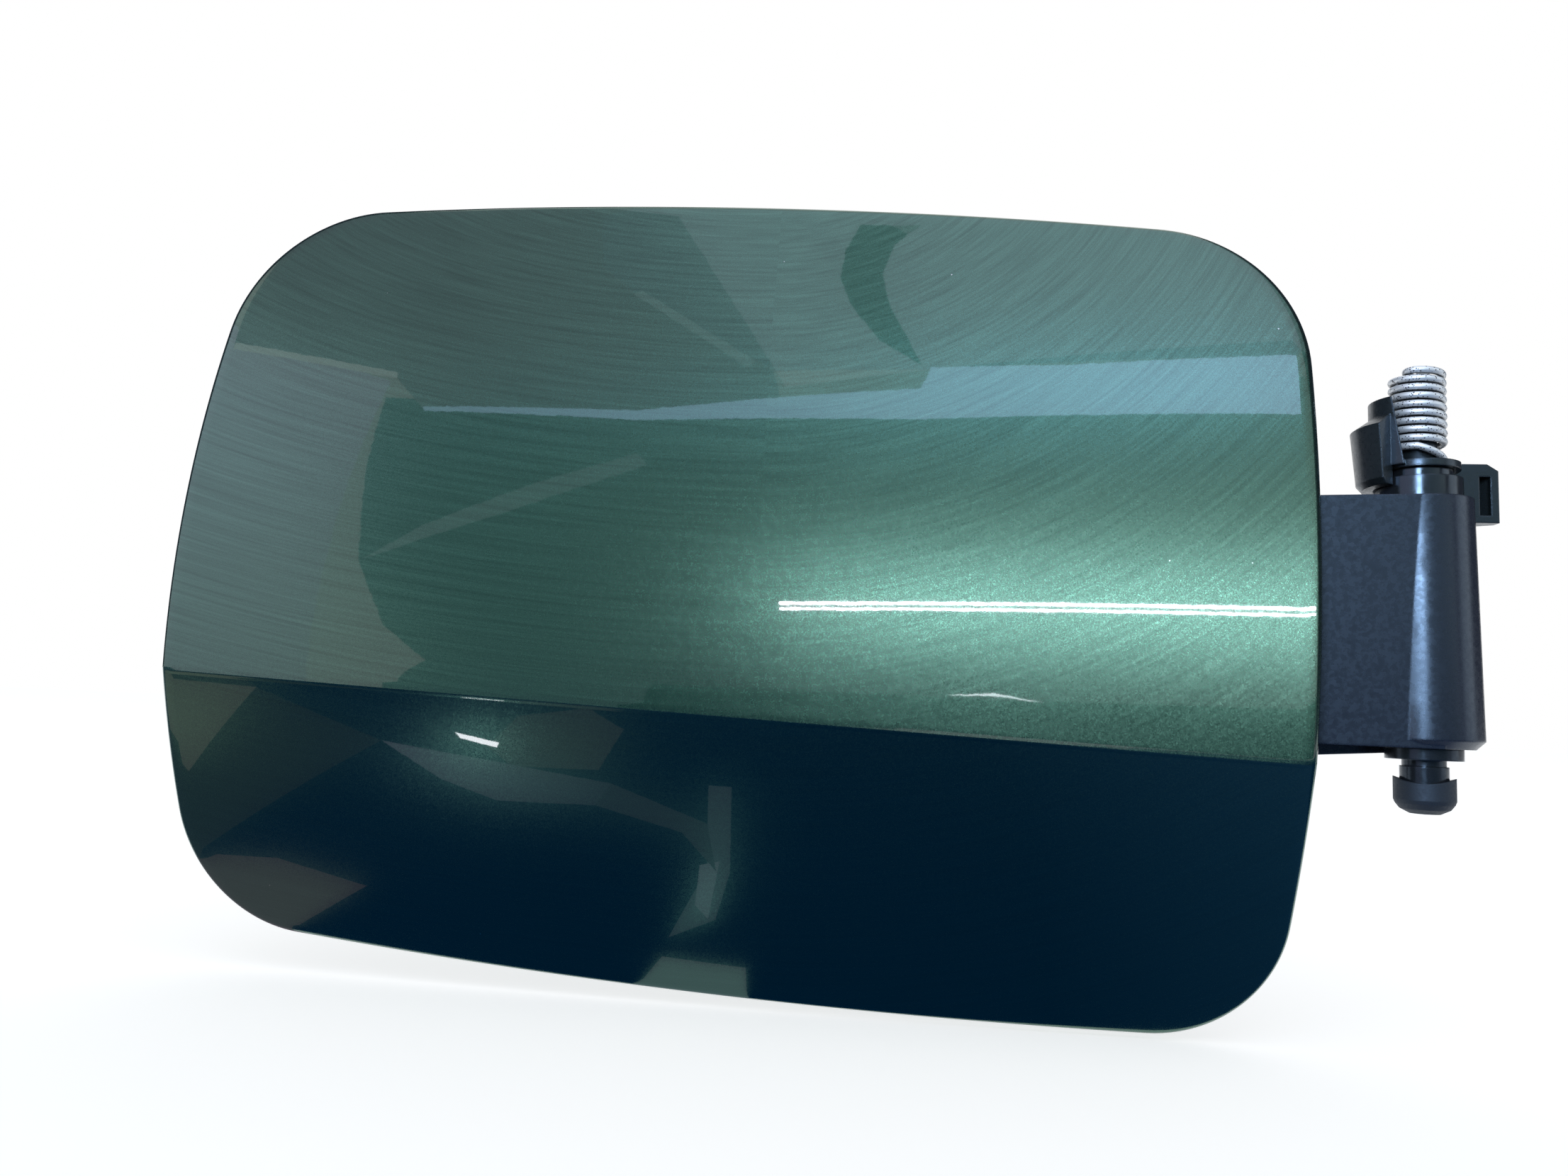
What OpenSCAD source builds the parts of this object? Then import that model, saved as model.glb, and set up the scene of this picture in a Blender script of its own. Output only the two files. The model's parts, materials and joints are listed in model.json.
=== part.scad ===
// Fuel flap of a passenger car, with its swing arm and sprung hinge.
// Millimetres. +Z runs up the hinge axis, the painted face looks towards -Y and
// the panel reaches from the hinge towards -X. The origin is on the hinge axis,
// inside the round stretch of the end cap that turns in the lower bearing.

/* [Panel outline] */
// Hinge axis to the middle of the panel, along the panel
panel_reach = 118; // [112:1:124]
// Height of the crease above the origin, at the middle of the panel
crease_height = 8; // [6:0.5:10]
// Slope of the crease, down towards the hinge, in degrees
panel_tilt = 2.3; // [1:0.1:3.5]
// Middle of the panel to its edge beside the hinge
edge_right = 96.5; // [95:0.5:97]
// Middle of the panel to its free edge
edge_left = 106; // [100:1:112]
// Crease to the top edge
edge_top = 93; // [88:1:96]
// Crease to the bottom edge
edge_bottom = 48; // [45:1:54]
// Corner radius at the top, beside the hinge
corner_top_right = 27; // [22:1:30]
// Corner radius at the bottom, beside the hinge
corner_bottom_right = 22; // [18:1:26]
// Corner radius at the bottom of the free edge
corner_bottom_left = 25; // [20:1:28]
// Corner radius at the top of the free edge
corner_top_left = 29; // [24:1:32]
// Bow radius of the top and bottom edges
bow_long = 1600; // [1000:100:3000]
// Bow radius of the edge beside the hinge
bow_right = 800; // [600:50:2000]
// Bow radius of the free edge
bow_left = 420; // [350:10:800]

/* [Panel surface] */
// Radius of the face from end to end
face_radius = 1300; // [1000:50:2000]
// Radius of the face above the crease
upper_radius = 400; // [350:10:600]
// Radius of the face below the crease
lower_radius = 340; // [300:10:600]
// Lean of the face just above the crease, in degrees
upper_lean = 1; // [0:0.5:3]
// Lean of the face just below the crease, in degrees
lower_lean = 11; // [8:0.5:14]
// Outer face at the crease, in front of the hinge axis
face_front = 17; // [16:0.5:19]
// Thickness of the outer skin
skin_t = 0.8; // [0.7:0.05:1]
// Thickness of the inner pressing
inner_t = 0.7; // [0.6:0.05:0.9]
// Width of the folded hem
hem_w = 8; // [6:0.5:10]
// Gap between two sheets that lie on each other
sheet_gap = 0.05; // [0.03:0.01:0.1]

/* [Inner pressing] */
// Panel edge to the wall of the pan
pan_inset = 13; // [12:0.5:16]
// Depth of the pan floor behind the outer face
pan_depth = 3.8; // [3.4:0.1:4.2]
// Seat for the arm: its plane in front of the hinge axis
seat_front = 7; // [6.5:0.1:7.5]
// Seat for the arm: the end beside the hinge, from the middle of the panel
seat_right = 82; // [80:0.5:82.5]
// Seat for the arm: the far end, from the middle of the panel
seat_left = 36; // [30:1:40]
// Seat for the arm: lower edge above the origin
seat_low = 8; // [6:0.5:9]
// Seat for the arm: upper edge above the origin
seat_high = 50; // [48:0.5:54]
// Radius of the stiffening beads
bead_r = 3; // [2:0.25:3.5]
// Length of the stiffening beads
bead_len = 66; // [50:1:80]
// Height of the upper bead above the crease
bead_high = 64; // [60:1:68]
// Depth of the lower bead below the crease
bead_drop = 24; // [22:0.5:26]
// Diameter of the drain holes
drain_d = 5; // [3:0.5:6]
// Depth of the drain holes below the crease
drain_drop = 31; // [30:0.5:32]

/* [Swing arm] */
// Height of the arm's lower face above the origin
arm_low = 7.2; // [7:0.1:8]
// Height of the arm's upper face above the origin
arm_high = 49; // [47:0.5:51]
// Radius of the barrel at its lower end
barrel_r_low = 9; // [8.4:0.1:9.6]
// Radius of the barrel at its upper end
barrel_r_high = 8.2; // [8:0.1:8.8]
// Fillet round the barrel's lower rim
barrel_round = 1.4; // [0.8:0.1:1.8]
// Thickness of the arm's front wall
arm_wall = 2.4; // [2:0.1:3]
// Thickness of the arm's ribs
arm_rib = 1.8; // [1.4:0.1:2.2]
// Front wall of the arm where it passes the panel's edge, in front of the axis
neck_front = 4.6; // [4.2:0.1:5]
// Lowest rib above the arm's lower face
low_rib_up = 1.2; // [0.8:0.1:2]
// Thickness of the foot on the pressing
foot_t = 3; // [2.6:0.1:3.6]
// Length of the foot on the pressing
foot_len = 40; // [38:0.5:40.5]
// Rear wall: its face behind the axis
rear_back = 8; // [7.4:0.1:8.4]
// Rear wall: its thickness
rear_t = 1.6; // [1.2:0.1:2]
// Rear wall: how far it hangs below the arm at the neck
rear_drop = 3.4; // [3:0.1:4]
// Stop tab under the rear wall: width and height
tab_size = 3.4; // [2.6:0.2:4]

/* [Hinge pin and bushes] */
// Diameter of the steel pin
pin_d = 4; // [3.6:0.1:4.2]
// Top of the pin above the origin
pin_top = 72; // [71:0.5:73]
// Diameter of the bore in the arm
bush_bore_d = 9; // [8:0.1:9.4]
// Height of the upper bush in the arm
upper_bush_len = 13; // [10:1:18]
// Diameter of the large upper collar
collar_d = 13.4; // [12.8:0.2:13.6]
// Height of the large upper collar
collar_h = 3.6; // [3:0.1:3.8]
// Diameter of the small upper collar
ring_d = 10.7; // [10:0.1:11.6]
// Height of the small upper collar
ring_h = 1.5; // [1.2:0.1:1.8]
// Height of the lower bush in the arm
lower_bush_len = 13; // [10:1:18]
// Diameter of the lower collar
low_collar_d = 11.8; // [11:0.1:12.6]
// Height of the lower collar
low_collar_h = 1.9; // [1.5:0.1:2.3]
// Diameter of the neck over the end cap
neck_d = 7.4; // [6.8:0.1:7.8]
// Diameter of the end cap
cap_d = 9.4; // [9:0.1:10.2]
// Top of the end cap's rim above the origin
cap_top = 3; // [2.6:0.1:3.4]
// Domed end of the cap below the origin
cap_bottom = 3.8; // [3.4:0.1:4.4]
// Gap between pieces that are pressed together
seat_gap = 0.03; // [0.02:0.01:0.05]
// Gap between the pin and what turns on it
run_gap = 0.05; // [0.03:0.01:0.08]

/* [Spring and lever] */
// Outer diameter of the coil
spring_d = 9; // [8.8:0.1:9.4]
// Diameter of the spring wire
wire_d = 1.25; // [1.15:0.05:1.35]
// Rise of the coil in one turn
coil_pitch = 1.47; // [1.4:0.01:1.5]
// Number of close turns
coil_turns = 9; // [7:1:9]
// Diameter of the post inside the coil
post_d = 5.8; // [5.6:0.1:6]
// Diameter of the lever's flange
flange_d = 12.8; // [12:0.1:13.4]
// Thickness of the lever's flange
flange_t = 1.2; // [1:0.1:1.4]
// Inner radius of the wing round the coil
wing_in = 5.2; // [5:0.1:5.5]
// Outer radius of the wing round the coil
wing_out = 7.6; // [7.2:0.1:8]
// Height of the wing above the flange
wing_h = 11; // [9:0.5:12]
// Outer radius of the ear on the wing
ear_out = 10.5; // [9.6:0.1:11]
// How far the ear hangs below the flange
ear_drop = 3; // [2.4:0.1:3.2]
// Reach of the lever's hook from the axis
hook_reach = 14; // [13:0.2:15]
// Height of the lever's hook
hook_h = 10.3; // [9:0.1:11]
// Depth of the lever's hook, front to back
hook_depth = 6; // [5:0.2:7]
// Wall of the lever's hook
hook_wall = 1.3; // [1:0.1:1.5]
// Front face of the hook behind the axis
hook_front = 2.5; // [2:0.1:3]

/* [Fixings and latch] */
// Diameter of the arm's fixing screws
screw_d = 5; // [4:0.5:5]
// Diameter of the screw heads
screw_head_d = 9; // [8.4:0.1:10]
// Thickness of the screw heads
screw_head_t = 3; // [2.4:0.1:3.4]
// Width across the flats of the captive nuts
nut_flats = 8; // [7.6:0.1:8.4]
// Thickness of the captive nuts
nut_t = 3; // [2.4:0.1:3.2]
// Distance of the latch striker from the middle of the panel
striker_reach = 84; // [80:1:86]
// Height of the striker above the crease
striker_height = 22; // [16:1:28]
// How far the striker stands behind the pressing
striker_len = 17; // [14:0.5:20]
// Width of the striker's base
striker_base_w = 12; // [10:0.5:13]
// Height of the striker's base
striker_base_h = 30; // [28:0.5:34]
// Thickness of the striker's blade
striker_blade_t = 3; // [2.5:0.1:3.6]
// Window in the striker's blade
striker_window = 7; // [6:0.2:8]
// Diameter of the striker's rivets
rivet_d = 3.2; // [2.6:0.2:4]
// Diameter of the rubber buffers
buffer_d = 10; // [8:0.5:11]
// Height of the rubber buffers
buffer_h = 5; // [4:0.5:7]
// Diameter of the buffers' stems
buffer_stem_d = 4; // [3:0.5:5]
// Distance of the striker's rivets from the ends of its base
rivet_in = 4; // [3.5:0.5:6]

/* [Hidden] */
$fn = 64;
fine = 360;
over = 1;
through = 30;

// Middles along the panel and heights of the screws, from the seat's near end.
seat_near = panel_reach - seat_right;
seat_far = panel_reach - seat_left;
screw_near = 7;
screw_far = 32;
SCREWS = [[-seat_near - screw_near, 42], [-seat_near - screw_near, 16], [-seat_near - screw_far, 29]];
rivet_pitch = striker_base_h - 2 * rivet_in;
RIVETS = [-1, 1];
DRAINS = [-60, 50];
BUFFERS = [[-78, 62], [-78, -22]];

// Each corner's setback from its two edge lines, which the bowed sides need.
SETBACKS = [[0, 0], [1.5, 0], [4.5, 1], [0.5, 0.5]];
face_sweep = 14;
outline_low = 20;
outline_deep = 70;
hem_t = skin_t + inner_t + 2 * sheet_gap;
bead_left = 34;
foot_near = seat_near + 1;
foot_far = foot_near + foot_len;
foot_face = seat_front - sheet_gap;
boss_t = 1;
boss_d = screw_head_d + 2;
neck_lead = 15;
neck_x = foot_near - neck_lead;
cross_ribs = [neck_x - arm_rib, foot_near + over, (foot_near + foot_far) / 2];
rear_near = 4;
rear_far = foot_near - 3;
rear_step = 0.6;
side_rise = 8;
side_fall = 10;
side_run = 16;
slot_w = wire_d + 0.3;
slot_depth = 1.4;
cap_floor = -2;
cap_round = 0.9;
cap_dome = 2.4;
saddle_r = 12;
saddle_depth = 1.6;
front_turn = -22;
groove_w = 1.1;
groove_depth = 0.35;
post_flare = 1;
flange_low = arm_high + collar_h + ring_h + 2 * run_gap;
flange_top = flange_low + flange_t;
lever_gap = 0.4;
wing_span = [130, 236];
wing_lean = [3.9, 1.8];
ear_span = [138, 216];
ear_rise = 7.2;
ear_slope = 2.4;
ear_taper = 0.8;
hook_root = 4;
hook_thin = 2.2;
hook_chamfer = [1.8, 1.2];
hook_low = flange_top + over - hook_h;
hook_inner = barrel_r_low + 0.6;
pocket_rib = 0.6;
striker_t = 2.5;
blade_slope = 5;
blade_chamfer = 3.5;
window_wall = 3;
head_rim = 0.8;
drive_depth = 1.8;
coil_r = (spring_d - wire_d) / 2;
coil_high = pin_top - wire_d / 2;
coil_low = coil_high - coil_turns * coil_pitch;
top_turn = -112;
leg_end = -12;
leg_steps = 7;
tang_lead = 25;
tang_steps = 5;
turn_steps = 14;
tube_sides = 8;

// Outline of the panel: four round corners joined by slightly bowed sides.
// A corner is [centre, radius]; the bow that touches two corners from inside
// has its centre where two circles round them cross.
function corner(right, top, r, i, inset) =
    let (in = SETBACKS[i][0] + r, down = SETBACKS[i][1] + r)
    [[right ? edge_right - in : in - edge_left, top ? edge_top - down : down - edge_bottom], r - inset];
function corners(inset) = [corner(true, true, corner_top_right, 0, inset),
                           corner(false, true, corner_top_left, 1, inset),
                           corner(false, false, corner_bottom_left, 2, inset),
                           corner(true, false, corner_bottom_right, 3, inset)];
function bows(inset) = [bow_long - inset, bow_left - inset, bow_long - inset, bow_right - inset];
function bow_centre(a, b, r) =
    let (ra = r - a[1], rb = r - b[1], gap = b[0] - a[0], d = norm(gap),
         along = (ra * ra - rb * rb + d * d) / (2 * d), side = sqrt(ra * ra - along * along))
    a[0] + gap / d * along + [-gap[1], gap[0]] / d * side;
function heading(from, to) = atan2(to[1] - from[1], to[0] - from[0]);
function turn(a, b) = b < a ? b + 360 : b;
function arc_points(c, r, a0, a1, n) = [for (i = [0 : n]) let (a = a0 + (a1 - a0) * i / n)
    c + r * [cos(a), sin(a)]];
function outline_points(inset, steps) =
    let (c = corners(inset), r = bows(inset),
         m = [for (i = [0 : 3]) bow_centre(c[i], c[(i + 1) % 4], r[i])])
    [for (i = [0 : 3])
        let (before = (i + 3) % 4,
             a0 = heading(m[before], c[i][0]), a1 = turn(a0, heading(m[i], c[i][0])),
             next = (i + 1) % 4, b1 = turn(a1, heading(m[i], c[next][0])))
        each concat(arc_points(c[i][0], c[i][1], a0, a1, steps),
                    [for (p = arc_points(m[i], r[i], a1, b1, steps / 2))
                        if (clear_of(p, c[i]) && clear_of(p, c[next])) p])];
function clear_of(p, corner) = norm(p - corner[0]) > corner[1] + over / 2;

// The panel's own frame: origin on the crease, X along it, Y into the car.
module on_panel() {
    translate([-panel_reach, -face_front, crease_height]) rotate([0, panel_tilt, 0]) children();
}
module outline(inset, steps = 6) {
    translate([0, outline_deep - outline_low, 0]) rotate([90, 0, 0]) linear_extrude(outline_deep)
        polygon(outline_points(inset, steps));
}
// Everything that lies at least t behind the outer face.
module behind(t) {
    deep = 2 * outline_low;
    translate([0, face_radius, 0]) rotate([0, 0, -90 - face_sweep / 2])
        rotate_extrude(angle = face_sweep, $fn = 4 * fine) intersection() {
            translate([face_radius - deep, -edge_bottom - outline_low / 2])
                square([deep + over, edge_top + edge_bottom + outline_low]);
            translate([face_radius - upper_radius * cos(upper_lean), -upper_radius * sin(upper_lean)])
                circle(upper_radius - t, $fn = fine);
            translate([face_radius - lower_radius * cos(lower_lean), lower_radius * sin(lower_lean)])
                circle(lower_radius - t, $fn = fine);
        }
}
module sheet(near, far, inset, steps = 6) {
    intersection() {
        outline(inset, steps);
        difference() {
            behind(near);
            behind(far);
        }
    }
}
module rim(near, far, inset, width) {
    difference() {
        sheet(near, far, inset);
        outline(inset + width);
    }
}

module outer_panel() {
    color([0.13, 0.27, 0.20]) on_panel() {
        difference() {
            sheet(0, hem_t + skin_t, 0, 12);
            difference() {
                intersection() {
                    outline(skin_t, 12);
                    behind(skin_t);
                }
                rim(hem_t, hem_t + skin_t + over, -over, hem_w + over);
            }
        }
    }
}

// The box that stands out behind the pan as the arm's seat, and the beads.
module seat_box(wall) {
    translate([-seat_far + wall, -face_front, seat_low + wall])
        cube([seat_far - seat_near - 2 * wall, face_front - seat_front - wall,
              seat_high - seat_low - 2 * wall]);
}
module bead_bars(wall) {
    on_panel() for (w = [bead_high, -bead_drop]) translate([-bead_left, pan_depth + fall(w), w])
        rotate([0, 90, 0]) cylinder(r = bead_r - wall, h = bead_len - 2 * wall, center = true);
}
// How far the outer face has dropped back at height w from the crease.
function fall(w) = w > 0 ? upper_radius * (cos(upper_lean) - cos(asin(sin(upper_lean) + w / upper_radius)))
                         : lower_radius * (cos(lower_lean) - cos(asin(sin(lower_lean) - w / lower_radius)));

module inner_panel() {
    near = skin_t + sheet_gap;
    color([0.11, 0.23, 0.18]) difference() {
        union() {
            on_panel() {
                rim(near, near + inner_t, near, pan_inset - near + inner_t);
                rim(near, pan_depth, pan_inset, inner_t);
                sheet(pan_depth - inner_t, pan_depth, pan_inset);
            }
            intersection() {
                union() {
                    seat_box(0);
                    bead_bars(0);
                }
                on_panel() behind(pan_depth - inner_t);
            }
        }
        seat_box(inner_t);
        bead_bars(inner_t);
        for (p = SCREWS) translate([p[0], -seat_front + over, p[1]]) rotate([90, 0, 0])
            cylinder(d = screw_d + 1, h = 2 * over + inner_t);
        for (u = DRAINS) on_pan(u, -drain_drop) pan_hole(drain_d);
        for (p = BUFFERS) on_pan(p[0], p[1]) pan_hole(buffer_stem_d);
        on_pan(-striker_reach, striker_height) for (s = RIVETS)
            translate([0, 0, s * rivet_pitch / 2]) pan_hole(rivet_d);
    }
}
module pan_hole(d) {
    translate([0, -inner_t - 2 * over, 0]) rotate([-90, 0, 0]) cylinder(d = d, h = inner_t + 4 * over);
}

// Swing arm: a moulding seen in plan as a front wall that necks back past the
// panel's edge and comes forward again to the foot, with ribs behind it.
module front_line() {
    polygon([[0, -barrel_r_high], [-neck_x, -neck_front], [-foot_near, -foot_face],
             [-foot_far, -foot_face], [-foot_far, -foot_face + foot_t],
             [-foot_near - over, -foot_face + foot_t], [-neck_x, -neck_front + arm_wall], [0, -over]]);
}
module rib_plan() {
    polygon([[0, -barrel_r_high + over], [-neck_x, -neck_front + over], [-foot_near, -foot_face + over],
             [-foot_far, -foot_face + over], [-foot_far, -foot_face + foot_t + over / 2],
             [-rear_far - side_fall, rear_back / 2], [-rear_far, rear_back], [0, rear_back]]);
}
module barrel() {
    translate([0, 0, arm_low + barrel_round])
        cylinder(r1 = barrel_r_low, r2 = barrel_r_high, h = arm_high - arm_low - barrel_round);
    translate([0, 0, arm_low])
        cylinder(r1 = barrel_r_low - barrel_round, r2 = barrel_r_low, h = barrel_round);
}
module hinge_arm() {
    arm_h = arm_high - arm_low;
    ribs = [arm_low + low_rib_up, arm_low + arm_h / 3, arm_low + arm_h * 2 / 3, arm_high - arm_rib];
    color([0.07, 0.07, 0.075]) difference() {
        union() {
            barrel();
            intersection() {
                translate([0, 0, arm_low]) linear_extrude(arm_h) front_line();
                side_outline();
            }
            intersection() {
                union() {
                    for (z = ribs) translate([0, 0, z]) linear_extrude(arm_rib) rib_plan();
                    for (x = cross_ribs) translate([-x, -foot_face, arm_low]) cube([arm_rib, through, arm_h]);
                }
                translate([0, 0, arm_low]) linear_extrude(arm_h) rib_plan();
                side_outline();
            }
            rear_wall();
            for (p = SCREWS) translate([p[0], -foot_face, p[1]]) rotate([-90, 0, 0])
                cylinder(d = boss_d, h = foot_t + boss_t);
        }
        translate([0, 0, arm_low - over]) cylinder(d = bush_bore_d, h = arm_h + 2 * over);
        for (p = SCREWS) {
            translate([p[0], 0, p[1]]) rotate([90, 0, 0]) cylinder(d = screw_d + lever_gap, h = through);
            translate([p[0], -foot_face + foot_t + boss_t, p[1]]) rotate([-90, 0, 0])
                cylinder(d = boss_d, h = through);
        }
    }
}
// Side view of the arm: full height at the barrel, tapering along the foot.
module side_outline() {
    translate([0, through, 0]) rotate([90, 0, 0]) linear_extrude(2 * through)
        polygon([[barrel_r_low, arm_low], [-foot_near, arm_low], [-foot_far, arm_low + side_rise],
                 [-foot_far, arm_high - side_fall], [-foot_near - side_run, arm_high],
                 [barrel_r_low, arm_high]]);
}
module rear_wall() {
    translate([0, rear_back, 0]) rotate([90, 0, 0]) linear_extrude(rear_t)
        polygon([[rear_near, arm_low - rear_step], [-rear_far, arm_low - rear_drop],
                 [-rear_far, arm_high - arm_rib], [rear_near, arm_high - arm_rib]]);
    translate([-rear_far + arm_rib, rear_back - tab_size, arm_low - rear_drop - tab_size + rear_step])
        cube([tab_size, tab_size, 2 * tab_size]);
}

module hinge_pin() {
    color([0.55, 0.56, 0.58]) difference() {
        translate([0, 0, cap_floor + over]) cylinder(d = pin_d, h = pin_top - cap_floor - over);
        rotate([0, 0, top_turn - tang_lead]) translate([-pin_d, -slot_w / 2, pin_top - slot_depth])
            cube([2 * pin_d, slot_w, slot_depth + over]);
    }
}
module upper_bush() {
    color([0.05, 0.05, 0.055]) difference() {
        union() {
            translate([0, 0, arm_high - upper_bush_len])
                cylinder(d = bush_bore_d - 2 * seat_gap, h = upper_bush_len + over);
            translate([0, 0, arm_high + seat_gap]) cylinder(d = collar_d, h = collar_h);
            translate([0, 0, arm_high + collar_h]) cylinder(d = ring_d, h = ring_h);
        }
        translate([0, 0, arm_high - upper_bush_len - over])
            cylinder(d = pin_d + 2 * seat_gap, h = upper_bush_len + collar_h + ring_h + 2 * over);
    }
}
module lower_bush() {
    low = arm_low - low_collar_h - seat_gap;
    color([0.05, 0.05, 0.055]) difference() {
        union() {
            translate([0, 0, low])
                cylinder(d = bush_bore_d - 2 * seat_gap, h = arm_low + lower_bush_len - low);
            translate([0, 0, low]) cylinder(d = low_collar_d, h = low_collar_h);
            translate([0, 0, cap_floor]) cylinder(d = neck_d, h = low - cap_floor + over);
        }
        translate([0, 0, cap_floor - over])
            cylinder(d = pin_d + 2 * seat_gap, h = arm_low + lower_bush_len + through);
        translate([0, 0, low - groove_w]) rotate_extrude()
            translate([neck_d / 2 - groove_depth, 0]) square([over, groove_w]);
    }
}
module end_cap() {
    color([0.06, 0.06, 0.065]) difference() {
        rotate_extrude() difference() {
            polygon([[0, -cap_bottom], [cap_d / 4, -cap_bottom + cap_round / 6],
                     [cap_d / 2 - cap_round, -cap_bottom + cap_round],
                     [cap_d / 2 - cap_round / 4, -cap_bottom + 2 * cap_round],
                     [cap_d / 2, -cap_bottom + cap_dome], [cap_d / 2, cap_top], [0, cap_top]]);
            translate([0, cap_floor - seat_gap]) square([neck_d / 2 + seat_gap, cap_top - cap_floor + over]);
        }
        rotate([0, 0, front_turn]) translate([0, cap_d, cap_top + saddle_r - saddle_depth]) rotate([90, 0, 0])
            cylinder(r = saddle_r, h = 2 * cap_d, $fn = 96);
    }
}

// The lever stays with the car: a flange and post that the pin turns in, a wing
// round the coil, an ear that hangs beside the collar, and a hook with a pocket.
module sector(from, to) {
    rotate([0, 0, from]) rotate_extrude(angle = to - from) children();
}
module hook_plan() {
    back = hook_front + hook_depth;
    polygon([[hook_root, hook_front], [hook_reach, hook_front], [hook_reach, hook_front + hook_thin],
             [2 * hook_root, back], [hook_root, back]]);
}
module hook_pocket() {
    near = hook_inner + hook_wall;
    far = hook_reach - hook_wall;
    difference() {
        polygon([[near, hook_front - over], [far, hook_front - over], [far, hook_front + hook_thin / 2],
                 [near, hook_front + hook_depth - hook_thin]]);
        translate([far - hook_thin, hook_front + pocket_rib]) square([pocket_rib, hook_depth]);
    }
}
module hook() {
    high = flange_top + over;
    clear = collar_d / 2 + lever_gap;
    difference() {
        intersection() {
            translate([0, 0, hook_low]) linear_extrude(hook_h) hook_plan();
            translate([0, through, 0]) rotate([90, 0, 0]) linear_extrude(2 * through)
                polygon([[hook_root, flange_low], [hook_root, high], [hook_reach - hook_chamfer[0], high],
                         [hook_reach, high - hook_chamfer[1]], [hook_reach, hook_low], [hook_inner, hook_low],
                         [hook_inner, arm_high + lever_gap], [clear, arm_high + lever_gap],
                         [clear, flange_low]]);
        }
        translate([0, 0, hook_low + hook_wall]) linear_extrude(hook_h - hook_wall - hook_thin) hook_pocket();
    }
}
// The wing round the coil; its front edge leans back towards the top.
module wing() {
    low = flange_low + flange_t / 4;
    high = flange_top + wing_h;
    difference() {
        sector(wing_span[0], wing_span[1]) translate([wing_in, low])
            square([wing_out - wing_in, high - low]);
        rotate([0, 0, front_turn]) rotate([90, 0, 0]) linear_extrude(through)
            polygon([[-wing_lean[1], low - over], [-wing_lean[0], high + over], [wing_out, high + over],
                     [wing_out, low - over]]);
    }
}
module ear() {
    low = flange_low - ear_drop;
    high = flange_low + ear_rise;
    near = collar_d / 2 + lever_gap;
    sector(ear_span[0], ear_span[1])
        polygon([[near, low], [ear_out - 2 * ear_taper, low], [ear_out - ear_taper, low + over],
                 [ear_out, high], [near, high + ear_slope]]);
}
module spring_lever() {
    post_high = pin_top - slot_depth - lever_gap;
    color([0.05, 0.05, 0.055]) difference() {
        union() {
            translate([0, 0, flange_low]) cylinder(d = flange_d, h = flange_t);
            translate([0, 0, flange_top - sheet_gap])
                cylinder(d1 = post_d + post_flare, d2 = post_d, h = 2 * post_flare);
            translate([0, 0, flange_low]) cylinder(d = post_d, h = post_high - flange_low);
            wing();
            ear();
            hook();
        }
        translate([0, 0, flange_low - over]) cylinder(d = pin_d + 2 * run_gap, h = pin_top);
        rotate([0, 0, leg_end]) translate([coil_r, 0, flange_low - over])
            cylinder(d = wire_d + 2 * lever_gap, h = flange_t + 2 * over);
    }
}

// Torsion spring, wound left-handed: nine close turns, a lower leg that runs
// down into the flange and an upper tang that lies in the slot of the pin.
function spin(a) = [cos(a), sin(a), 0];
function coil_point(a, z) = coil_r * spin(a) + [0, 0, z];
function blend(p, q, r, t) = (1 - t) * (1 - t) * p + 2 * t * (1 - t) * q + t * t * r;
function leg_point(t) = coil_point(top_turn + t * (leg_end - top_turn),
                                   coil_low - (coil_low - flange_top - 1.5 * wire_d / 2) * t * t);
tang_way = spin(top_turn - tang_lead);
tang_z = [0, 0, coil_high];
spring_path = concat(
    [coil_point(leg_end + 3, flange_low + wire_d / 2), coil_point(leg_end, flange_top + wire_d / 3)],
    [for (i = [1 : leg_steps]) leg_point(1 - i / leg_steps)],
    [for (i = [1 : coil_turns * turn_steps])
        coil_point(top_turn - 360 * i / turn_steps, coil_low + coil_pitch * i / turn_steps)],
    [for (i = [1 : tang_steps])
        blend(coil_point(top_turn, coil_high), coil_r / cos(tang_lead) * tang_way + tang_z,
              wire_d * tang_way + tang_z, i / tang_steps)],
    [-wire_d * tang_way + tang_z]);
function unit(v) = v / norm(v);
module tube(path, r, sides) {
    n = len(path);
    rings = [for (i = [0 : n - 1])
        let (t = unit(path[min(i + 1, n - 1)] - path[max(i - 1, 0)]), side = unit(cross(t, [0, 0, 1])),
             up = cross(side, t))
        for (k = [0 : sides - 1])
            let (a = 360 * k / sides) path[i] + r * (cos(a) * side + sin(a) * up)];
    polyhedron(rings, concat(
        [[for (k = [0 : sides - 1]) k]],
        [for (i = [0 : n - 2], k = [0 : sides - 1]) let (a = i * sides, b = a + sides, m = (k + 1) % sides)
            each [[a + k, b + k, b + m], [a + k, b + m, a + m]]],
        [[for (k = [sides - 1 : -1 : 0]) (n - 1) * sides + k]]));
}
module torsion_spring() {
    color([0.62, 0.63, 0.64]) tube(spring_path, wire_d / 2, tube_sides);
}

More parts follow.
